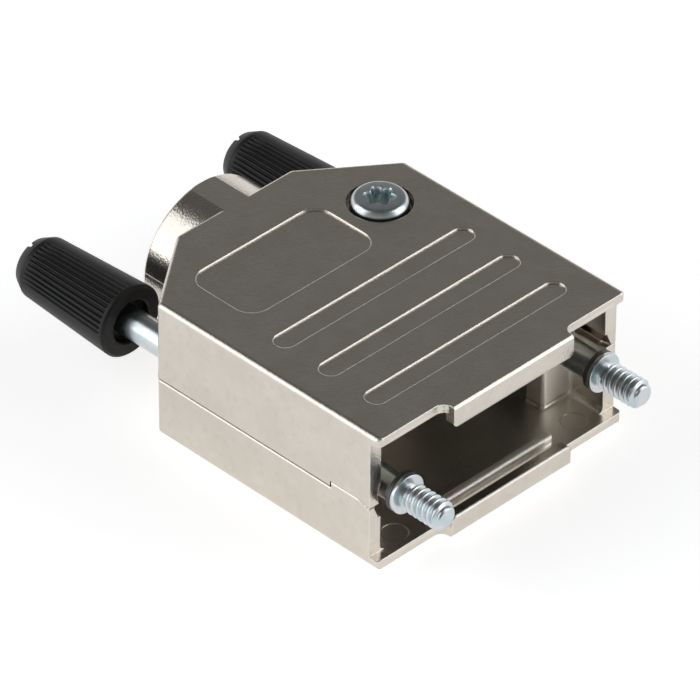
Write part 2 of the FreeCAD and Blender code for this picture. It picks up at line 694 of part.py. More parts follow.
def face_recesses(body):
    """Three grip slots and the bare label field, sunk in the outer face."""
    pitch = f"(({LABEL_FRONT} - grip_slot_label_gap - {GRIP_FIRST}) / {GRIP_SLOTS - 1})"
    for number in range(GRIP_SLOTS):
        slot = sketch_on(body, f"grip_slot_{number + 1}", "XY_Plane", HALF_HEIGHT)
        station = f"({GRIP_FIRST} + {number} * {pitch})"
        long_slot(slot, f"({HALF_WIDTH} - grip_slot_side_margin)", station, "(grip_slot_width / 2)")
        pocket(body, slot, "recess_depth")
    field = sketch_on(body, "label_field", "XY_Plane", HALF_HEIGHT)
    left, right = f"-({HALF_WIDTH} - label_side_margin)", f"({SCREW_X} - label_screw_gap)"
    rectangle(field, left, right, LABEL_FRONT, f"{LABEL_FRONT} + label_length")
    pocket(body, field, "recess_depth")
    floor, ends = value(f"{HALF_HEIGHT} - recess_depth"), (value(left), value(right))

    def field_corner(middle, box):
        upright = near(box.XLength, 0) and near(box.YLength, 0) and near(box.ZMin, floor)
        return upright and any(near(middle.x, end) for end in ends)

    dress(body, "PartDesign::Fillet", "label_corners", field_corner, "label_corner")


def half_shell(label):
    """One die-cast half; both halves are the same casting."""
    body = new_body(label)
    outer_block(body)
    face_recesses(body)
    cavity(body)
    mouth(body)
    collar(body)
    cradles(body)
    pin_marks(body)
    bosses(body)
    clamp_seat(body)
    parting(body)
    shaft_notches(body)
    return body


def assembly_screw(label):
    """Pan head screw with a six-lobe recess; its head seats at z = 0."""
    body = new_body(label)
    profile = sketch_on(body, "profile", "XZ_Plane")
    polygon(profile, [
        ("0", f"-{SCREW_LENGTH}"), ("screw_shank / 2 - screw_tip_bevel", f"-{SCREW_LENGTH}"),
        ("screw_shank / 2", f"-{SCREW_LENGTH} + screw_tip_bevel"), ("screw_shank / 2", "0"),
        ("screw_head / 2", "0"), ("screw_head / 2", "screw_head_height"), ("0", "screw_head_height")])
    revolve(body, profile)
    top = value("screw_head_height")

    def head_rim(middle, box):
        return near(box.ZMin, top)

    dress(body, "PartDesign::Fillet", "head_rounding", head_rim, "screw_head_round")
    core = sketch_on(body, "driver_core", "XY_Plane", "screw_head_height")
    circle(core, "0", "0", "driver_core / 2")
    pocket(body, core, "driver_depth")
    lobe = sketch_on(body, "driver_lobe", "XY_Plane", "screw_head_height")
    circle(lobe, "driver_core / 2", "0", "driver_lobe / 2")
    cut = pocket(body, lobe, "driver_depth")
    repeat(body, cut, "Z_Axis", "360", DRIVER_LOBES)
    return body


def jackscrew(label):
    """Threaded end, shoulder, ring groove and shaft; the shoulder's front face is at y = 0."""
    body = new_body(label)
    profile = sketch_on(body, "profile", "XY_Plane")
    groove_end = "(shoulder_thickness + ring_thickness + 2 * ring_play)"
    polygon(profile, [
        ("0", "-thread_length"), ("thread_diameter / 2 - thread_bevel", "-thread_length"),
        ("thread_diameter / 2", "-thread_length + thread_bevel"), ("thread_diameter / 2", "0"),
        ("shoulder_diameter / 2 - shoulder_bevel", "0"), ("shoulder_diameter / 2", "shoulder_bevel"),
        ("shoulder_diameter / 2", "shoulder_thickness"), ("groove_diameter / 2", "shoulder_thickness"),
        ("groove_diameter / 2", groove_end), ("shaft_diameter / 2", groove_end),
        ("shaft_diameter / 2", f"{SHAFT_END} - shoulder_station"), ("0", f"{SHAFT_END} - shoulder_station")])
    revolve(body, profile)
    return body


def retaining_ring(label):
    """Open ring that snaps into the groove behind the shoulder; its front face is at y = 0."""
    body = new_body(label)
    profile = sketch_on(body, "profile", "XY_Plane")
    rectangle(profile, "groove_diameter / 2 + ring_fit", "shoulder_diameter / 2", "0", "ring_thickness")
    revolve(body, profile)
    mouth_cut = sketch_on(body, "mouth", "XZ_Plane")
    rectangle(mouth_cut, "-ring_mouth / 2", "ring_mouth / 2", "-shoulder_diameter", "0")
    pocket(body, mouth_cut, "ring_thickness")
    return body


def thumb_knob(label, gap):
    """Fluted plastic knob with a screwdriver slot; its front face is at y = 0."""
    body = new_body(label)
    radius, rear = "(knob_diameter / 2)", "(knob_rear_diameter / 2)"
    bore = "(shaft_diameter / 2 + knob_fit)"
    bore_end = f"({SHAFT_END} - {BEVEL_AT_KNOB} - {gap} + knob_bore_end)"
    nose = "(knob_length - knob_nose_length)"
    profile = sketch_on(body, "profile", "XY_Plane")
    polygon(profile, [
        ("0", bore_end), (bore, bore_end), (bore, "knob_recess_depth"),
        ("knob_recess_diameter / 2", "knob_recess_depth"), ("knob_recess_diameter / 2", "0"),
        (f"{radius} - knob_edge_bevel", "0"), (radius, "knob_edge_bevel"), (radius, "knob_band"),
        (rear, nose), ("knob_nose_diameter / 2", "knob_length"), ("0", "knob_length")])
    revolve(body, profile)

    slot = sketch_on(body, "driver_slot", "XZ_Plane", "-knob_length")
    slot.AttachmentOffset = FreeCAD.Placement(FreeCAD.Vector(), FreeCAD.Rotation(FreeCAD.Vector(0, 0, 1), 0))
    bind(slot, "AttachmentOffset.Rotation.Angle", "knob_slot_angle * 1deg")
    rectangle(slot, "-knob_slot_width / 2", "knob_slot_width / 2", "-knob_diameter / 2", "knob_diameter / 2")
    pocket(body, slot, "knob_slot_depth", reverse=True)

    # One flute follows the taper; the others of its sector are copies of it
    start, stop = "knob_band", f"({nose} - flute_rear_margin)"
    fall = f"(({radius} - {rear}) * ({stop} - knob_band) / ({nose} - knob_band))"
    for label, side in (("upper_flute", ""), ("lower_flute", "-")):
        flute = sketch_on(body, label, "YZ_Plane")
        polygon(flute, [
            (start, f"{side}({radius} - flute_depth)"), (stop, f"{side}({radius} - {fall} - flute_depth)"),
            (stop, f"{side}({radius} - {fall} + flute_depth)"), (start, f"{side}({radius} + flute_depth)")])
        cut = pocket(body, flute, "flute_width", symmetric=True)
        repeat(body, cut, "Y_Axis", f"flute_pitch_angle * {FLUTES_PER_SECTOR - 1}", FLUTES_PER_SECTOR)
    return body


def clamp_bar(label, hole):
    """Half of the cable clamp: an arch over the cable with an ear on each side."""
    body = new_body(label)
    bar = sketch_on(body, "bar", "XZ_Plane", f"-{CLAMP_Y}")
    rectangle(bar, f"-{CLAMP_HALF}", CLAMP_HALF, "clamp_gap / 2", "clamp_gap / 2 + clamp_ear_height")
    pad(body, bar, "clamp_width", symmetric=True)
    arch = sketch_on(body, "arch", "XZ_Plane", f"-{CLAMP_Y}")
    circle(arch, "0", "0", CLAMP_TOP)
    pad(body, arch, "clamp_width", symmetric=True)
    below = sketch_on(body, "parting", "XZ_Plane", f"-{CLAMP_Y}")
    rectangle(below, f"-{CLAMP_TOP} - clamp_wall", f"{CLAMP_TOP} + clamp_wall", f"-{CLAMP_TOP} - clamp_wall",
              "clamp_gap / 2")
    pocket(body, below, "clamp_width * 2", symmetric=True)
    cable = sketch_on(body, "cable", "XZ_Plane", f"-{CLAMP_Y}")
    circle(cable, "0", "0", "clamp_bore / 2")
    pocket(body, cable, "clamp_width * 2", symmetric=True)
    holes = sketch_on(body, "holes", "XY_Plane")
    circle(holes, CLAMP_SCREW_X, CLAMP_Y, hole)
    circle(holes, f"-{CLAMP_SCREW_X}", CLAMP_Y, hole)
    pocket(body, holes, "clamp_gap / 2 + clamp_ear_height + clamp_wall", reverse=True)
    return body


def clamp_screw(label):
    """Slotted cheese head screw; its head seats at z = 0 and its point looks up."""
    body = new_body(label)
    profile = sketch_on(body, "profile", "XZ_Plane")
    polygon(profile, [
        ("0", "-clamp_screw_head_height"), ("clamp_screw_head / 2", "-clamp_screw_head_height"),
        ("clamp_screw_head / 2", "0"), ("clamp_screw_diameter / 2", "0"),
        ("clamp_screw_diameter / 2", "clamp_screw_length"), ("0", "clamp_screw_length")])
    revolve(body, profile)
    slot = sketch_on(body, "slot", "XY_Plane", "-clamp_screw_head_height")
    rectangle(slot, "-clamp_screw_head", "clamp_screw_head", "-clamp_screw_slot / 2", "clamp_screw_slot / 2")
    pocket(body, slot, "clamp_screw_slot_depth", reverse=True)
    return body


def place(body, x, y, z, turned=False):
    """Move a body to its place; turned bodies are rolled half a turn about the Y axis."""
    roll = FreeCAD.Rotation(FreeCAD.Vector(0, 1, 0), 180 if turned else 0)
    body.Placement = FreeCAD.Placement(FreeCAD.Vector(value(x), value(y), value(z)), roll)
    for axis, place_formula in (("x", x), ("y", y), ("z", z)):
        bind(body, f"Placement.Base.{axis}", place_formula)


upper_shell = half_shell("upper_shell")
lower_shell = half_shell("lower_shell")
place(lower_shell, "0", "0", "0", turned=True)

upper_screw = assembly_screw("upper_assembly_screw")
place(upper_screw, SCREW_X, SCREW_Y, SEAT_HEIGHT)
lower_screw = assembly_screw("lower_assembly_screw")
place(lower_screw, f"-{SCREW_X}", SCREW_Y, f"-{SEAT_HEIGHT}", turned=True)

for side, x, gap in (("left", f"-{JACK_X}", "left_knob_gap"), ("right", JACK_X, "right_knob_gap")):
    place(jackscrew(f"{side}_jackscrew"), x, "shoulder_station", "0")
    place(retaining_ring(f"{side}_retaining_ring"), x, "shoulder_station + shoulder_thickness + ring_play", "0")
    place(thumb_knob(f"{side}_thumb_knob", gap), x, f"{BEVEL_AT_KNOB} + {gap}", "0")

clamp_bar("upper_clamp_bar", "clamp_screw_diameter / 2")
place(clamp_bar("lower_clamp_bar", "clamp_screw_diameter / 2 + clamp_hole_fit"), "0", "0", "0", turned=True)
for side, x in (("left", f"-{CLAMP_SCREW_X}"), ("right", CLAMP_SCREW_X)):
    place(clamp_screw(f"{side}_clamp_screw"), x, CLAMP_Y, "-clamp_gap / 2 - clamp_ear_height")

doc.recompute()

for item in doc.Objects:
    if "Invalid" in item.State or "Error" in item.State:
        raise RuntimeError(f"{item.Label} could not be worked out: {item.State}")

os.makedirs("parts", exist_ok=True)
for body in doc.Objects:
    if body.TypeId != "PartDesign::Body":
        continue
    if body.Shape.isNull() or not body.Shape.isValid() or len(body.Shape.Solids) != 1:
        raise RuntimeError(f"{body.Label} is not one valid solid")
    body.Shape.exportStep(os.path.join("parts", f"{body.Label}.step"))
    box = body.Shape.BoundBox
    print(f"{body.Label}: {body.Shape.Volume:.1f} mm3, x {box.XMin:.2f} {box.XMax:.2f},"
          f" y {box.YMin:.2f} {box.YMax:.2f}, z {box.ZMin:.2f} {box.ZMax:.2f}")
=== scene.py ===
import json
import math

import bmesh
import bpy
from mathutils import Matrix, Vector


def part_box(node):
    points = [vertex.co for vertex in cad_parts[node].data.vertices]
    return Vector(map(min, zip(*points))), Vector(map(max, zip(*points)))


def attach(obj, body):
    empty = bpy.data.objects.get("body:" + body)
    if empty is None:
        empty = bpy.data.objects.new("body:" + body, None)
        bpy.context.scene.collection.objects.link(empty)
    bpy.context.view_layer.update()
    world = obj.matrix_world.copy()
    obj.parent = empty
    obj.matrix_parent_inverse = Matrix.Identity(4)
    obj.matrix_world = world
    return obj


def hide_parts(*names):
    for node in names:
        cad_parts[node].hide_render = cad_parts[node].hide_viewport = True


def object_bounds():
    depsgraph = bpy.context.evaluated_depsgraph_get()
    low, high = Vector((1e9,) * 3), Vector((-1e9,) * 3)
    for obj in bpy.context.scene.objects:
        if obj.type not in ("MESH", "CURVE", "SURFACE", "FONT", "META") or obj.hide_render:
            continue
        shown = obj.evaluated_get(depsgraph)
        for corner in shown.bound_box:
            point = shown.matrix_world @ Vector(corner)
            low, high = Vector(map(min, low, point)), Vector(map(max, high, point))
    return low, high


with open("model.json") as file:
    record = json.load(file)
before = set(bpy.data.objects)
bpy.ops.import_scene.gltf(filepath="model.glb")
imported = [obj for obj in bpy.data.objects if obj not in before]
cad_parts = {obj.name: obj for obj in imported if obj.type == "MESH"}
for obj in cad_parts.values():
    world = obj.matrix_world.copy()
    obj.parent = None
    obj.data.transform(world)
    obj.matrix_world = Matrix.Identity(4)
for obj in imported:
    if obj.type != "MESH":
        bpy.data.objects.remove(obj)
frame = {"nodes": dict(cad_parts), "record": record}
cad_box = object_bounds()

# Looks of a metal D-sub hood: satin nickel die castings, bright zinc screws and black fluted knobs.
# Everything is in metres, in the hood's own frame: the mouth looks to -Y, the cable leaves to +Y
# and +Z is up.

MM = 0.001
NODES = frame["nodes"]


# Shader maths

BEVEL_SAMPLES = 6
EDGE_TURN = 0.14


class Value:
    """One output socket of a finish; arithmetic on it adds Math nodes."""

    def __init__(self, finish, socket):
        self.finish = finish
        self.socket = socket

    def math(self, operation, *others):
        return self.finish.node("ShaderNodeMath", {"operation": operation}, self, *others)

    def __add__(self, other):
        return self.math("ADD", other)

    def __sub__(self, other):
        return self.math("SUBTRACT", other)

    def __rsub__(self, other):
        return self.finish.node("ShaderNodeMath", {"operation": "SUBTRACT"}, other, self)

    def __mul__(self, other):
        return self.math("MULTIPLY", other)

    def __pow__(self, other):
        return self.math("POWER", other)

    def __gt__(self, other):
        return self.math("GREATER_THAN", other)

    __radd__ = __add__
    __rmul__ = __mul__

    def between(self, low, high, start=0.0, end=1.0):
        """Map low..high to start..end, with soft ends."""
        settings = {"interpolation_type": "SMOOTHSTEP"}
        return self.finish.node("ShaderNodeMapRange", settings, self, low, high, start, end)


class Finish:
    """A material, or the world, built from nodes."""

    def __init__(self, tree):
        self.tree = tree
        tree.nodes.clear()

    def node(self, kind, settings, *values, output=0, **named):
        """Add a node: first its settings, then the values or links of its sockets, by order or name."""
        made = self.tree.nodes.new(kind)
        for setting, value in settings.items():
            setattr(made, setting, value)
        sockets = list(zip((socket for socket in made.inputs if socket.enabled), values))
        sockets += [(made.inputs[name.replace("_", " ")], value) for name, value in named.items()]
        for socket, value in sockets:
            if isinstance(value, Value):
                self.tree.links.new(value.socket, socket)
            else:
                socket.default_value = value
        if not made.outputs:
            return None
        outputs = [socket for socket in made.outputs if socket.enabled]
        return Value(self, outputs[output] if isinstance(output, int) else made.outputs[output])

    def mix(self, factor, first, second, kind="RGBA"):
        """Blend two colours, or two vectors."""
        return self.node("ShaderNodeMix", {"data_type": kind}, factor, first, second)

    def dot(self, first, second):
        return self.node("ShaderNodeVectorMath", {"operation": "DOT_PRODUCT"}, first, second,
                         output="Value")

    def place(self, across=1.0, along=1.0, up=1.0):
        """Place on the piece in the hood's frame, in millimetres times a factor for X, Y and Z."""
        place = self.node("ShaderNodeTexCoord", {}, output="Object")
        scale = (across / MM, along / MM, up / MM)
        return self.node("ShaderNodeVectorMath", {"operation": "MULTIPLY"}, place, scale)

    def noise(self, waves, detail=2.0, roughness=0.5):
        """Noise of so many waves a millimetre: one number, or one each for X, Y and Z."""
        place = self.place(*(waves if isinstance(waves, tuple) else (waves, waves, waves)))
        return self.node("ShaderNodeTexNoise", {}, Vector=place, Scale=1.0, Detail=detail,
                         Roughness=roughness, Distortion=0.0)

    def soft_edge(self, radius):
        """The surface's direction, with every sharp edge rounded to a small radius."""
        return self.node("ShaderNodeBevel", {"samples": BEVEL_SAMPLES}, Radius=radius)

    def edge_mask(self, rounded):
        """Near 1 on a rounded edge and 0 on the flats."""
        flat = self.node("ShaderNodeNewGeometry", {}, output="Normal")
        return (1.0 - self.dot(rounded, flat)).between(0.0, EDGE_TURN)

    def bump(self, height, distance, strength, normal):
        return self.node("ShaderNodeBump", {}, Height=height, Distance=distance, Strength=strength,
                         Normal=normal)

    def surface(self, **sockets):
        shader = self.node("ShaderNodeBsdfPrincipled", {}, **sockets)
        self.node("ShaderNodeOutputMaterial", {}, Surface=shader)


def new_finish(name):
    material = bpy.data.materials.new(name)
    material.use_nodes = True
    return material, Finish(material.node_tree)


# Regions of the hood, as limits in millimetres of X, Y and Z. X and Z are counted without their
# signs, so that a region is the same on both sides and in both halves.

LONG_EDGES = ((15.0, 16.5), (-50.0, 50.0), (6.6, 7.5))
LIP_EDGES = ((0.0, 7.7), (-0.5, 0.5), (4.0, 5.6))
FLANGE_RIBS = ((0.0, 8.3), (2.2, 3.6), (5.0, 6.2))
WIRE_ROOM_WALLS = ((0.0, 14.2), (1.2, 26.5), (0.0, 5.8))
WIRE_ROOM_PLATES = ((0.0, 14.2), (1.2, 26.5), (5.8, 6.7))
PIN_MARKS = ((9.5, 13.5), (1.8, 5.0), (6.1, 6.5))
HEAD_BORE_RADIUS = 3.13
HEAD_BORE_LEVEL = 6.0
DRIVER_RECESS_RADIUS = 1.52
DRIVER_RECESS_LEVEL = 7.74


def parts_of_place(paint):
    """The place on the piece as X, Y and Z in millimetres."""
    place = paint.place()
    return [paint.node("ShaderNodeSeparateXYZ", {}, place, output=axis) for axis in "XYZ"]


def within(paint, region):
    """1 inside a region of the hood and 0 outside it."""
    x, y, z = parts_of_place(paint)
    inside = 1.0
    for part, (low, high) in zip((x.math("ABSOLUTE"), y, z.math("ABSOLUTE")), region):
        inside = inside * ((part - low) > 0.0) * ((high - part) > 0.0)
    return inside


def around_heads(paint, radius, level):
    """1 inside a radius of the two assembly screws' axes, from a level outwards, and 0 elsewhere."""
    x, y, z = parts_of_place(paint)
    inside = 0.0
    for side, way in (("upper", 1.0), ("lower", -1.0)):
        low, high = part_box(f"{side}_assembly_screw")
        across = x - (low.x + high.x) / 2 / MM
        along = y - (low.y + high.y) / 2 / MM
        away = (across * across + along * along) ** 0.5
        inside = inside + ((radius - away) > 0.0) * ((z * way) > level)
    return inside


# Finishes

NICKEL_DARK = (0.685, 0.63, 0.56, 1)
NICKEL_PALE = (0.725, 0.67, 0.60, 1)
NICKEL_PIT = (0.59, 0.54, 0.48, 1)
NICKEL_ROOM_PAINTED_LIGHT = (0.93, 0.89, 0.815, 1)
NICKEL_EDGE_HIGHLIGHT = (0.86, 0.83, 0.79, 1)
PIN_MARK_EDGE_SHADE = (0.30, 0.27, 0.24, 1)
HEAD_BORE_SHADE = (0.10, 0.09, 0.08, 1)
PIT_SHARE = 0.3
PLATE_SHARE = 0.3
NICKEL_EDGE_SHARE = 0.8
HEAD_BORE_SHARE = 0.85
SHARP_EDGE = 0.14 * MM
CAST_EDGE = 0.45 * MM
NICKEL_RELIEF = 0.012 * MM


def satin_nickel():
    """Nickel plate over a die casting: fine peel, slight waves, small pits, a painted highlight that
    makes the edges brighter, a paler colour painted in as light inside the wire room, and painted shade
    on the pin marks' edges and in the head bores.
    """
    material, paint = new_finish("satin_nickel")
    peel = paint.noise(5.0, detail=0.0)
    waves = paint.noise(0.11, detail=1.0)
    clouds = paint.noise(0.35, detail=4.0, roughness=0.6)
    pits = paint.noise(1.3, detail=1.0).between(0.52, 0.80)
    cast_edges = within(paint, LONG_EDGES) + within(paint, LIP_EDGES) + within(paint, FLANGE_RIBS)
    rounded = paint.mix(cast_edges, paint.soft_edge(SHARP_EDGE), paint.soft_edge(CAST_EDGE), "VECTOR")
    edge = paint.edge_mask(rounded)
    # Inside the wire room the nickel is rougher, and its colour is painted paler: painted light that
    # brightens the dim inside.
    unpolished_and_painted_light = within(paint, WIRE_ROOM_WALLS) + within(paint, WIRE_ROOM_PLATES) * PLATE_SHARE
    colour = paint.mix(clouds.between(0.35, 0.7), NICKEL_DARK, NICKEL_PALE)
    colour = paint.mix(pits * PIT_SHARE, colour, NICKEL_PIT)
    colour = paint.mix(unpolished_and_painted_light, colour, NICKEL_ROOM_PAINTED_LIGHT)
    # Painted highlight: the rounded edges are mixed towards a paler colour.
    colour = paint.mix(edge * NICKEL_EDGE_SHARE, colour, NICKEL_EDGE_HIGHLIGHT)
    # Painted shade: the pin marks' rounded edges are darkened to keep them from shining.
    colour = paint.mix(edge * within(paint, PIN_MARKS) * NICKEL_EDGE_SHARE, colour, PIN_MARK_EDGE_SHADE)
    bores = around_heads(paint, HEAD_BORE_RADIUS, HEAD_BORE_LEVEL)
    colour = paint.mix(bores * HEAD_BORE_SHARE, colour, HEAD_BORE_SHADE)
    roughness = 0.20 + clouds * 0.06 + pits * 0.04 + unpolished_and_painted_light * 0.26
    relief = peel * 2.4 + waves * 5.0
    paint.surface(Base_Color=colour, Metallic=1.0, Roughness=roughness,
                  Normal=paint.bump(relief, NICKEL_RELIEF, 0.5, rounded))
    return material


ZINC_BLUE = (0.585, 0.675, 0.695, 1)
ZINC_PALE = (0.71, 0.725, 0.75, 1)
ZINC_EDGE_HIGHLIGHT = (0.86, 0.90, 0.91, 1)
DRIVER_RECESS_SHADE = (0.33, 0.46, 0.48, 1)
ZINC_EDGE_HIGHLIGHT_SHARE = 0.6
DRIVER_RECESS_SHARE = 0.7
TURNED_EDGE = 0.05 * MM
ZINC_RELIEF = 0.003 * MM


def bright_zinc():
    """Blue-white zinc plate on turned steel, with fine grain, a painted highlight on the edges and a
    darker driver recess.
    """
    material, paint = new_finish("bright_zinc")
    clouds = paint.noise(0.9)
    grain = paint.noise(3.0, roughness=0.6)
    rounded = paint.soft_edge(TURNED_EDGE)
    edge = paint.edge_mask(rounded)
    level = parts_of_place(paint)[2].math("ABSOLUTE")
    below_crown = (DRIVER_RECESS_LEVEL - level) > 0.0
    recess = around_heads(paint, DRIVER_RECESS_RADIUS, HEAD_BORE_LEVEL) * below_crown
    colour = paint.mix(clouds.between(0.35, 0.65), ZINC_BLUE, ZINC_PALE)
    # Painted highlight: the rounded edges are mixed towards a paler colour.
    colour = paint.mix(edge * ZINC_EDGE_HIGHLIGHT_SHARE, colour, ZINC_EDGE_HIGHLIGHT)
    colour = paint.mix(recess * DRIVER_RECESS_SHARE, colour, DRIVER_RECESS_SHADE)
    paint.surface(Base_Color=colour, Metallic=1.0, Roughness=0.25 + grain * 0.08 + recess * 0.12,
                  Normal=paint.bump(grain, ZINC_RELIEF, 0.4, rounded))
    return material


SPRING_DARK = (0.10, 0.10, 0.105, 1)
SPRING_PALE = (0.19, 0.187, 0.18, 1)
SPRING_RELIEF = 0.01 * MM


def dark_spring_steel():
    """Oil-blackened steel of the retaining rings."""
    material, paint = new_finish("dark_spring_steel")
    clouds = paint.noise(2.5, detail=3.0)
    colour = paint.mix(clouds, SPRING_DARK, SPRING_PALE)
    relief = paint.bump(clouds, SPRING_RELIEF, 0.4, paint.soft_edge(TURNED_EDGE))
    paint.surface(Base_Color=colour, Metallic=0.85, Roughness=0.34 + clouds * 0.15, Normal=relief)
    return material


NYLON_DARK = (0.009, 0.009, 0.009, 1)
NYLON_PALE = (0.016, 0.016, 0.0155, 1)
NYLON_RIDGE_HIGHLIGHT = (0.088, 0.09, 0.093, 1)
NYLON_RIDGE_HIGHLIGHT_SHARE = 0.85
MOULDED_EDGE = 0.07 * MM
NYLON_RELIEF = 0.004 * MM


def black_nylon():
    """Moulded black plastic with a fine spark-eroded grain, and a painted highlight that makes the
    ridges slightly paler.
    """
    material, paint = new_finish("black_nylon")
    grain = paint.noise(7.0, detail=3.0, roughness=0.7)
    clouds = paint.noise(0.6)
    rounded = paint.soft_edge(MOULDED_EDGE)
    edge = paint.edge_mask(rounded)
    colour = paint.mix(clouds, NYLON_DARK, NYLON_PALE)
    # Painted highlight: the rounded ridges and edges are mixed towards a paler grey.
    colour = paint.mix(edge * NYLON_RIDGE_HIGHLIGHT_SHARE, colour, NYLON_RIDGE_HIGHLIGHT)
    paint.surface(Base_Color=colour, Roughness=0.40 + grain * 0.14, Specular_IOR_Level=0.28,
                  Normal=paint.bump(grain, NYLON_RELIEF, 0.5, rounded))
    return material


CLAMP_DARK = (0.46, 0.46, 0.45, 1)
CLAMP_PALE = (0.58, 0.58, 0.56, 1)
CLAMP_EDGE = 0.10 * MM
CLAMP_RELIEF = 0.01 * MM


def dull_zinc():
    """Plain plated steel of the cable clamp, with faint rolling marks along the bars."""
    material, paint = new_finish("dull_zinc")
    marks = paint.noise((0.5, 6.0, 3.0), detail=3.0, roughness=0.6)
    clouds = paint.noise(0.7)
    colour = paint.mix(clouds, CLAMP_DARK, CLAMP_PALE)
    relief = paint.bump(marks, CLAMP_RELIEF, 0.5, paint.soft_edge(CLAMP_EDGE))
    paint.surface(Base_Color=colour, Metallic=1.0, Roughness=0.32 + marks * 0.16, Normal=relief)
    return material


FINISHES = {
    "cast_shell": satin_nickel(),
    "plated_steel": bright_zinc(),
    "dark_spring_steel": dark_spring_steel(),
    "black_plastic": black_nylon(),
    "clamp_metal": dull_zinc(),
}


# Mesh helpers

SHARP_ANGLE = math.radians(35)
WELD = 1e-7


def turn_points(centre, angle_radii, level, upright):
    """A ring of points at one level of an axis through centre: along Z if upright, otherwise Y."""
    x, y, z = centre
    if upright:
        return [Vector((x + r * math.cos(a), y + r * math.sin(a), z + level)) for a, r in angle_radii]
    return [Vector((x + r * math.sin(a), y + level, z + r * math.cos(a))) for a, r in angle_radii]


def join_rows(mesh, rings, climb):
    """Join a stack of rings; on a helix each ring runs on into the one that is climb rows higher."""
    rows = [[mesh.verts.new(point) for point in ring] for ring in rings]
    for low, high in zip(rows, rows[1:]):
        for here in range(len(low) - 1):
            mesh.faces.new((low[here], low[here + 1], high[here + 1], high[here]))
    for row in range(len(rows) - 1 - climb):
        start_low, start_high = rows[row + climb][0], rows[row + climb + 1][0]
        mesh.faces.new((rows[row][-1], start_low, start_high, rows[row + 1][-1]))
    return rows


def skin(name, stacks, node, body):
    """Join stacks of rings, close both ends, and let the piece stand for its CAD node."""
    mesh = bmesh.new()
    joined = [join_rows(mesh, rings, climb) for rings, climb in stacks]
    mesh.faces.new(joined[0][0][::-1])
    mesh.faces.new(joined[-1][-1])
    bmesh.ops.remove_doubles(mesh, verts=mesh.verts, dist=WELD)
    bmesh.ops.dissolve_degenerate(mesh, dist=WELD, edges=mesh.edges)
    smooth_faces(mesh)
    return put_piece(name, mesh, node, body)


def smooth_faces(mesh):
    """Turn all faces outwards and shade them smooth, but for the sharp edges."""
    bmesh.ops.recalc_face_normals(mesh, faces=mesh.faces)
    for face in mesh.faces:
        face.smooth = True
    for edge in mesh.edges:
        edge.smooth = edge.is_manifold and edge.calc_face_angle(0.0) < SHARP_ANGLE


def put_piece(name, mesh, node, body):
    data = bpy.data.meshes.new(name)
    mesh.to_mesh(data)
    mesh.free()
    piece = bpy.data.objects.new(name, data)
    bpy.context.scene.collection.objects.link(piece)
    parts = frame["record"]["subparts"]
    slot = next(part["material_slot"] for part in parts if part["node"] == node)
    data.materials.append(FINISHES[slot])
    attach(piece, body)
    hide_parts(node)
    return piece


def circle_angles(count):
    return [math.tau * step / count for step in range(count)]


def round_over(radius, level, size, steps, outward=1):
    """Radius and level pairs of a rounded outer edge that ends at radius, level."""
    pairs = []
    for step in range(steps + 1):
        angle = math.pi / 2 * step / steps
        rise = outward * size * (1 - math.cos(angle))
        pairs.append((radius - size + size * math.sin(angle), level + rise))
    return pairs


# Jackscrews: thread, shoulder, ring groove and shaft

THREAD_PITCH = 0.635 * MM
THREAD_RADIUS = 1.42 * MM
THREAD_ROOT = 1.06 * MM
THREAD_ROOT_ROUND = 0.04 * MM
THREAD_TIP_BEVEL = 0.5 * MM
THREAD_NECK = 0.18 * MM
THREAD_FADE = 0.35 * MM
THREAD_PROFILE = ((0.0, 0.0), (0.07, 0.0), (0.12, 0.12), (0.33, 0.95), (0.40, 1.0), (0.50, 1.0),
                  (0.60, 1.0), (0.67, 0.95), (0.88, 0.12), (0.93, 0.0))
SCREW_COLUMNS = 72
SHOULDER_FRONT = 0.69 * MM
SHOULDER_THICKNESS = 0.45 * MM
SHOULDER_EDGE = 0.07 * MM
SHOULDER_EDGE_STEPS = 3
GROOVE_RADIUS = 1.2 * MM
GROOVE_WIDTH = 0.48 * MM
SHAFT_RADIUS = 1.45 * MM
SHAFT_EDGE = 0.08 * MM


def thread_rows(centre, angles, start, end):
    """Rows of points that climb along a 60 degree thread, from a bevelled tip to a neck."""
    rows = []
    turns = math.ceil((end - start) / THREAD_PITCH) + 2
    for turn in range(-1, turns):
        for share, depth in THREAD_PROFILE:
            row = []
            for angle in angles:
                level = start + THREAD_PITCH * (turn + share - 1 + angle / math.tau)
                level = min(max(level, start), end)
                fade = min(max((level - end) / THREAD_FADE + 1, 0.0), 1.0)
                sunk = depth + (1 - depth) * fade
                radius = THREAD_RADIUS + (THREAD_ROOT - THREAD_RADIUS) * sunk
                cone = THREAD_RADIUS - THREAD_TIP_BEVEL + level - start
                row += turn_points(centre, [(angle, min(radius, cone))], level, upright=False)
            rows.append(row)
    return rows


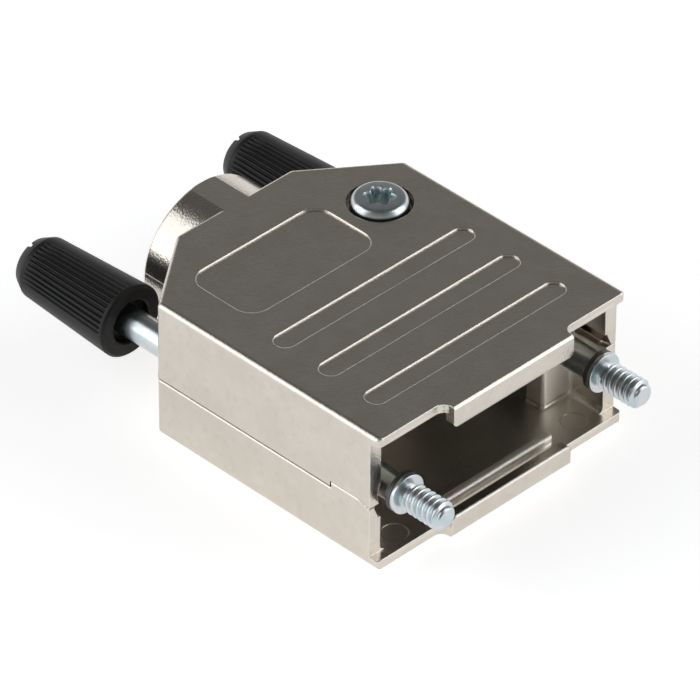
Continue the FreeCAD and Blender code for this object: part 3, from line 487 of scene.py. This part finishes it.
def jackscrew(side, body):
    node = f"{side}_jackscrew"
    low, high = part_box(node)
    centre = ((low.x + high.x) / 2, 0.0, 0.0)
    angles = circle_angles(SCREW_COLUMNS)
    tip, neck = low.y, SHOULDER_FRONT - THREAD_NECK
    tip_radius = THREAD_RADIUS - THREAD_TIP_BEVEL
    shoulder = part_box(f"{side}_retaining_ring")[1].z
    back = SHOULDER_FRONT + SHOULDER_THICKNESS
    groove_end = back + GROOVE_WIDTH
    end_face, shank = [], []

    def ring(rings, level, radius):
        points = [(angle, radius) for angle in angles]
        rings.append(turn_points(centre, points, level, upright=False))

    ring(end_face, tip, tip_radius / 2)
    ring(end_face, tip, tip_radius)
    ring(shank, neck, THREAD_ROOT)
    ring(shank, SHOULDER_FRONT - THREAD_ROOT_ROUND, THREAD_ROOT)
    ring(shank, SHOULDER_FRONT, THREAD_ROOT + THREAD_ROOT_ROUND)
    for radius, level in round_over(shoulder, SHOULDER_FRONT, SHOULDER_EDGE, SHOULDER_EDGE_STEPS):
        ring(shank, level, radius)
    rear_edge = round_over(shoulder, back, SHOULDER_EDGE, SHOULDER_EDGE_STEPS, outward=-1)
    for radius, level in reversed(rear_edge):
        ring(shank, level, radius)
    ring(shank, back, GROOVE_RADIUS)
    ring(shank, groove_end, GROOVE_RADIUS)
    ring(shank, groove_end, SHAFT_RADIUS - SHAFT_EDGE)
    ring(shank, groove_end + SHAFT_EDGE, SHAFT_RADIUS)
    ring(shank, high.y - SHAFT_EDGE, SHAFT_RADIUS)
    ring(shank, high.y, SHAFT_RADIUS - SHAFT_EDGE)
    thread = thread_rows(centre, angles, tip, neck)
    stacks = [(end_face, 0), (thread, len(THREAD_PROFILE)), (shank, 0)]
    return skin(f"{side}_threaded_jackscrew", stacks, node, body)


# Thumb knobs

KNOB_BAND = 0.5 * MM
KNOB_EDGE = 0.25 * MM
KNOB_NOSE = 1.2 * MM
KNOB_NOSE_RADIUS = 2.45 * MM
KNOB_NOSE_START = 0.05 * MM
KNOB_NOSE_DROP = 0.03 * MM
KNOB_TIP_EDGE = 0.08 * MM
KNOB_TIP_GROWTH = 0.06 * MM
KNOB_TIP_CUT = 0.04 * MM
KNOB_REAR_RADIUS = 3.1 * MM
KNOB_RECESS_RADIUS = 2.2 * MM
KNOB_RECESS_DEPTH = 1.0 * MM
KNOB_RECESS_BEVEL = 0.12 * MM
KNOB_RECESS_CORE = 0.6
KNOB_SLOT_WIDTH = 0.55 * MM
KNOB_SLOT_DEPTH = 0.6 * MM
KNOB_SLOT_ANGLE = math.radians(-16)
FLUTE_COUNT = 11
FLUTE_PITCH = math.radians(8.4)
FLUTE_WIDTH = math.radians(1.2)
FLUTE_WALL = math.radians(2.6)
FLUTE_DEPTH = 0.24 * MM
FLUTE_START = KNOB_BAND + 0.06 * MM
FLUTE_END_MARGIN = 0.45 * MM
FLUTE_FADE = 0.7 * MM
FLUTE_STEPS = 12
SMOOTH_STEP = math.radians(4)


def knob_columns():
    """Angles round the knob from +Z towards -X, each with 1 in a flute and 0 elsewhere."""
    columns = []
    edge = FLUTE_WIDTH / 2
    for sector in (0.0, math.pi):
        for flute in range(FLUTE_COUNT):
            middle = sector + flute * FLUTE_PITCH
            columns += [(middle - edge - FLUTE_WALL, 0), (middle - edge, 1), (middle, 1),
                        (middle + edge, 1), (middle + edge + FLUTE_WALL, 0)]
        start = columns[-1][0]
        stop = sector + math.pi - edge - FLUTE_WALL
        steps = math.ceil((stop - start) / SMOOTH_STEP)
        columns += [(start + (stop - start) * step / steps, 0) for step in range(1, steps)]
    return [(-angle, inside) for angle, inside in columns]


def thumb_knob(side, body):
    node = f"{side}_thumb_knob"
    low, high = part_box(node)
    centre = ((low.x + high.x) / 2, low.y, 0.0)
    front_radius = (high.z - low.z) / 2
    length = high.y - low.y
    nose = length - KNOB_NOSE
    flute_end = nose - FLUTE_END_MARGIN
    columns = knob_columns()
    rings = []

    def ring(level, radius, depth=0.0):
        points = [(angle, radius - depth * inside) for angle, inside in columns]
        rings.append(turn_points(centre, points, level, upright=False))

    def barrel(level):
        share = (level - KNOB_BAND) / (nose - KNOB_BAND)
        return front_radius + (KNOB_REAR_RADIUS - front_radius) * share

    ring(KNOB_RECESS_DEPTH, SHAFT_RADIUS * KNOB_RECESS_CORE)
    ring(KNOB_RECESS_DEPTH, KNOB_RECESS_RADIUS)
    ring(KNOB_RECESS_BEVEL, KNOB_RECESS_RADIUS)
    ring(0.0, KNOB_RECESS_RADIUS + KNOB_RECESS_BEVEL)
    ring(0.0, front_radius - KNOB_EDGE)
    ring(KNOB_EDGE, front_radius)
    ring(KNOB_BAND, front_radius)
    ring(FLUTE_START, front_radius, FLUTE_DEPTH)
    for step in range(1, FLUTE_STEPS + 1):
        level = FLUTE_START + (flute_end - FLUTE_START) * step / FLUTE_STEPS
        ring(level, barrel(level), FLUTE_DEPTH * min((flute_end - level) / FLUTE_FADE, 1.0))
    ring(nose - KNOB_NOSE_START, barrel(nose - KNOB_NOSE_START))
    ring(nose + KNOB_NOSE_START, KNOB_REAR_RADIUS - KNOB_NOSE_DROP)
    ring(length - KNOB_TIP_EDGE, KNOB_NOSE_RADIUS + KNOB_TIP_GROWTH)
    ring(length, KNOB_NOSE_RADIUS - KNOB_TIP_CUT)
    knob = skin(f"{side}_fluted_knob", [(rings, 0)], node, body)
    cut_slot(knob, centre, length)
    return knob


def cut_slot(knob, centre, length):
    """Cut the screwdriver slot across the knob's rear face."""
    cutter_mesh = bmesh.new()
    bmesh.ops.create_cube(cutter_mesh, size=1.0)
    size = (KNOB_SLOT_WIDTH, 2 * KNOB_SLOT_DEPTH, 4 * KNOB_NOSE_RADIUS)
    place = (Matrix.Translation((centre[0], centre[1] + length, centre[2]))
             @ Matrix.Rotation(KNOB_SLOT_ANGLE, 4, "Y") @ Matrix.Diagonal((*size, 1.0)))
    cutter_mesh.transform(place)
    cutter_data = bpy.data.meshes.new("slot_cutter")
    cutter_mesh.to_mesh(cutter_data)
    cutter_mesh.free()
    cutter = bpy.data.objects.new("slot_cutter", cutter_data)
    bpy.context.scene.collection.objects.link(cutter)
    cut = knob.modifiers.new("slot", "BOOLEAN")
    cut.operation = "DIFFERENCE"
    cut.solver = "EXACT"
    cut.object = cutter
    apply_modifiers(knob)
    bpy.data.objects.remove(cutter)


def apply_modifiers(piece):
    bpy.context.view_layer.update()
    evaluated = piece.evaluated_get(bpy.context.evaluated_depsgraph_get())
    shaped = bpy.data.meshes.new_from_object(evaluated)
    piece.modifiers.clear()
    old = piece.data
    piece.data = shaped
    bpy.data.meshes.remove(old)
    mesh = bmesh.new()
    mesh.from_mesh(shaped)
    smooth_faces(mesh)
    mesh.to_mesh(shaped)
    mesh.free()


# Assembly screws

HEAD_RADIUS = 2.75 * MM
HEAD_SINK = 1.6 * MM
HEAD_CROWN = 0.12 * MM
HEAD_SHOULDER = 1.05 * MM
HEAD_RIM_START = 0.78 * HEAD_RADIUS
HEAD_SEAT_EDGE = 0.08 * MM
CROWN_STEPS = 6
RIM_STEPS = 10
LOBE_COUNT = 6
LOBE_OUTER = 1.42 * MM
LOBE_INNER = 1.02 * MM
LOBE_FULLNESS = 0.8
LOBE_DEPTH = 0.75 * MM
LOBE_TAPER = 0.10 * MM
LOBE_EDGE = 0.12 * MM
LOBE_EDGE_DEPTH = 0.20 * MM
CROWN_START = LOBE_OUTER + LOBE_EDGE + 0.05 * MM
SHANK_RADIUS = 1.38 * MM
SHANK_TIP_BEVEL = 0.4 * MM
HEAD_COLUMNS = 144
UPPER_LOBE_TURN = math.radians(6)
LOWER_LOBE_TURN = math.radians(10)


def lobe_radius(angle):
    """Radius of the six-lobe recess: round lobes with rounded valleys between them."""
    wave = 0.5 + 0.5 * math.cos(LOBE_COUNT * angle)
    return LOBE_INNER + (LOBE_OUTER - LOBE_INNER) * wave ** LOBE_FULLNESS


def assembly_screw(side, body, way, lobe_turn):
    """A pan head screw with its head up where way is 1, and down where it is -1."""
    node = f"{side}_assembly_screw"
    low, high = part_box(node)
    centre = ((low.x + high.x) / 2, (low.y + high.y) / 2, 0.0)
    shell_low, shell_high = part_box(f"{side}_shell")
    top, bottom = (high.z, low.z) if way > 0 else (-low.z, -high.z)
    seat = (shell_high.z if way > 0 else -shell_low.z) - HEAD_SINK
    angles = circle_angles(HEAD_COLUMNS)
    rings = []

    def ring(level, size):
        points = [(angle, size) for angle in angles]
        rings.append(turn_points(centre, points, way * level, upright=True))

    def lobes(level, grow):
        points = [(angle, lobe_radius(angle - lobe_turn) + grow) for angle in angles]
        rings.append(turn_points(centre, points, way * level, upright=True))

    def crown(size):
        return top - HEAD_CROWN * (size / HEAD_RADIUS) ** 2

    lobes(top - LOBE_DEPTH, -LOBE_TAPER)
    lobes(crown(LOBE_OUTER) - LOBE_EDGE_DEPTH, 0.0)
    lobes(crown(LOBE_OUTER), LOBE_EDGE)
    for step in range(1, CROWN_STEPS + 1):
        size = CROWN_START + (HEAD_RIM_START - CROWN_START) * step / CROWN_STEPS
        ring(crown(size), size)
    drop = crown(HEAD_RIM_START) - (top - HEAD_SHOULDER)
    for step in range(1, RIM_STEPS + 1):
        angle = math.pi / 2 * step / RIM_STEPS
        size = HEAD_RIM_START + (HEAD_RADIUS - HEAD_RIM_START) * math.sin(angle)
        ring(crown(HEAD_RIM_START) - drop * (1 - math.cos(angle)), size)
    ring(seat + HEAD_SEAT_EDGE, HEAD_RADIUS)
    ring(seat, HEAD_RADIUS - HEAD_SEAT_EDGE)
    ring(seat, SHANK_RADIUS)
    ring(bottom + SHANK_TIP_BEVEL, SHANK_RADIUS)
    ring(bottom, SHANK_RADIUS - SHANK_TIP_BEVEL)
    return skin(f"{side}_pan_head_screw", [(rings, 0)], node, body)


for side in ("left", "right"):
    jackscrew(side, f"{side}_screw")
    thumb_knob(side, f"{side}_screw")
assembly_screw("upper", "hood", 1, UPPER_LOBE_TURN)
assembly_screw("lower", "hood", -1, LOWER_LOBE_TURN)

for part in frame["record"]["subparts"]:
    node = NODES[part["node"]]
    node.data.materials.clear()
    node.data.materials.append(FINISHES[part["material_slot"]])


# Stage and light

BLACK = (0, 0, 0, 1)
WHITE = (1, 1, 1, 1)
FLOOR_SIZE = 4.0
FLOOR_LEVEL = cad_box[0].z - 0.2 * MM
FLOOR_COLOUR = (0.86, 0.86, 0.86, 1)
FLOOR_ROUGHNESS = 0.9
FLOOR_GLOW = 0.58
FLOOR_CAMERA_GLOW = 0.08


def stage_floor():
    """A pale floor that keeps the hood's shadow and shows nearly white, in the metal's sheen too."""
    mesh = bmesh.new()
    bmesh.ops.create_grid(mesh, x_segments=1, y_segments=1, size=FLOOR_SIZE / 2)
    data = bpy.data.meshes.new("floor")
    mesh.to_mesh(data)
    mesh.free()
    floor = bpy.data.objects.new("floor", data)
    floor.location.z = FLOOR_LEVEL
    bpy.context.scene.collection.objects.link(floor)
    material, paint = new_finish("pale_floor")
    camera, glossy, through = [paint.node("ShaderNodeLightPath", {}, output=f"Is {kind} Ray")
                               for kind in ("Camera", "Glossy", "Transmission")]
    seen = camera.math("MAXIMUM", glossy).math("MAXIMUM", through)
    glow = paint.mix(seen * FLOOR_GLOW + camera * FLOOR_CAMERA_GLOW, BLACK, WHITE)
    paint.surface(Base_Color=FLOOR_COLOUR, Roughness=FLOOR_ROUGHNESS, Emission_Color=glow,
                  Emission_Strength=1.0)
    data.materials.append(material)


FRONT = (-0.71, -0.70, 0.0)
HORIZON_TONE = 0.95
FRONT_HORIZON_TONE = 0.30
CEILING_TONE = 0.175
OVERHEAD_DROP = 0.09
WARMTH = 0.985
LAMP_SIZE = 0.56
LAMP_COLOUR = (0.95, 0.975, 1.0)
LAMP_AIM = Vector((0.0, 0.018, 0.0))
LAMPS = (("left_lamp", (-0.44, 0.38, 0.31), 1.55),
         ("right_lamp", (0.38, -0.44, 0.31), 1.50))


def studio_light():
    """A pale cyclorama that falls off to a dim ceiling, and two large soft lamps."""
    world = bpy.data.worlds.new("studio")
    bpy.context.scene.world = world
    world.use_nodes = True
    paint = Finish(world.node_tree)
    way = paint.node("ShaderNodeTexCoord", {}, output="Generated")
    height = paint.node("ShaderNodeSeparateXYZ", {}, way, output="Z")
    horizon = paint.dot(way, FRONT).between(0.35, 0.8, HORIZON_TONE, FRONT_HORIZON_TONE)
    ceiling = CEILING_TONE - height.between(0.62, 0.82, 0.0, OVERHEAD_DROP)
    low = 1.0 - height.between(0.16, 0.42)
    tone = ceiling + (horizon - ceiling) * low
    shade = paint.node("ShaderNodeCombineColor", {}, tone, tone, tone * WARMTH)
    background = paint.node("ShaderNodeBackground", {}, shade, 1.0)
    paint.node("ShaderNodeOutputWorld", {}, Surface=background)
    for name, place, power in LAMPS:
        light = bpy.data.lights.new(name, "AREA")
        light.shape = "SQUARE"
        light.size = LAMP_SIZE
        light.color = LAMP_COLOUR
        light.energy = power
        lamp = bpy.data.objects.new(name, light)
        lamp.location = place
        lamp.rotation_euler = (LAMP_AIM - Vector(place)).to_track_quat("-Z", "Y").to_euler()
        bpy.context.scene.collection.objects.link(lamp)


# Camera

CAMERA_AZIMUTH = math.radians(-45.191)
CAMERA_ELEVATION = math.radians(37.236)
CAMERA_ROLL = math.radians(0.4827)
CAMERA_DISTANCE = 699.114 * MM
CAMERA_TARGET = Vector((-1.677, 18.794, 0.34)) * MM
CAMERA_LENS = 400.75
CAMERA_SENSOR = 36.0
CAMERA_NEAR = 0.05
CAMERA_FAR = 20.0


def photo_camera():
    """A camera at the photograph's angle, distance and roll."""
    camera = bpy.data.cameras.new("camera")
    camera.lens = CAMERA_LENS
    camera.sensor_width = CAMERA_SENSOR
    camera.clip_start = CAMERA_NEAR
    camera.clip_end = CAMERA_FAR
    flat = math.cos(CAMERA_ELEVATION)
    back = Vector((math.sin(CAMERA_AZIMUTH) * flat, -math.cos(CAMERA_AZIMUTH) * flat,
                   math.sin(CAMERA_ELEVATION)))
    right = (-back).cross(Vector((0, 0, 1))).normalized()
    up = right.cross(-back)
    turned_right = right * math.cos(CAMERA_ROLL) + up * math.sin(CAMERA_ROLL)
    turned_up = up * math.cos(CAMERA_ROLL) - right * math.sin(CAMERA_ROLL)
    axes = Matrix((turned_right, turned_up, back)).transposed().to_4x4()
    holder = bpy.data.objects.new("camera", camera)
    holder.matrix_world = Matrix.Translation(CAMERA_TARGET + back * CAMERA_DISTANCE) @ axes
    bpy.context.scene.collection.objects.link(holder)
    bpy.context.scene.camera = holder


stage_floor()
studio_light()
photo_camera()
bpy.context.scene.view_settings.view_transform = "Standard"
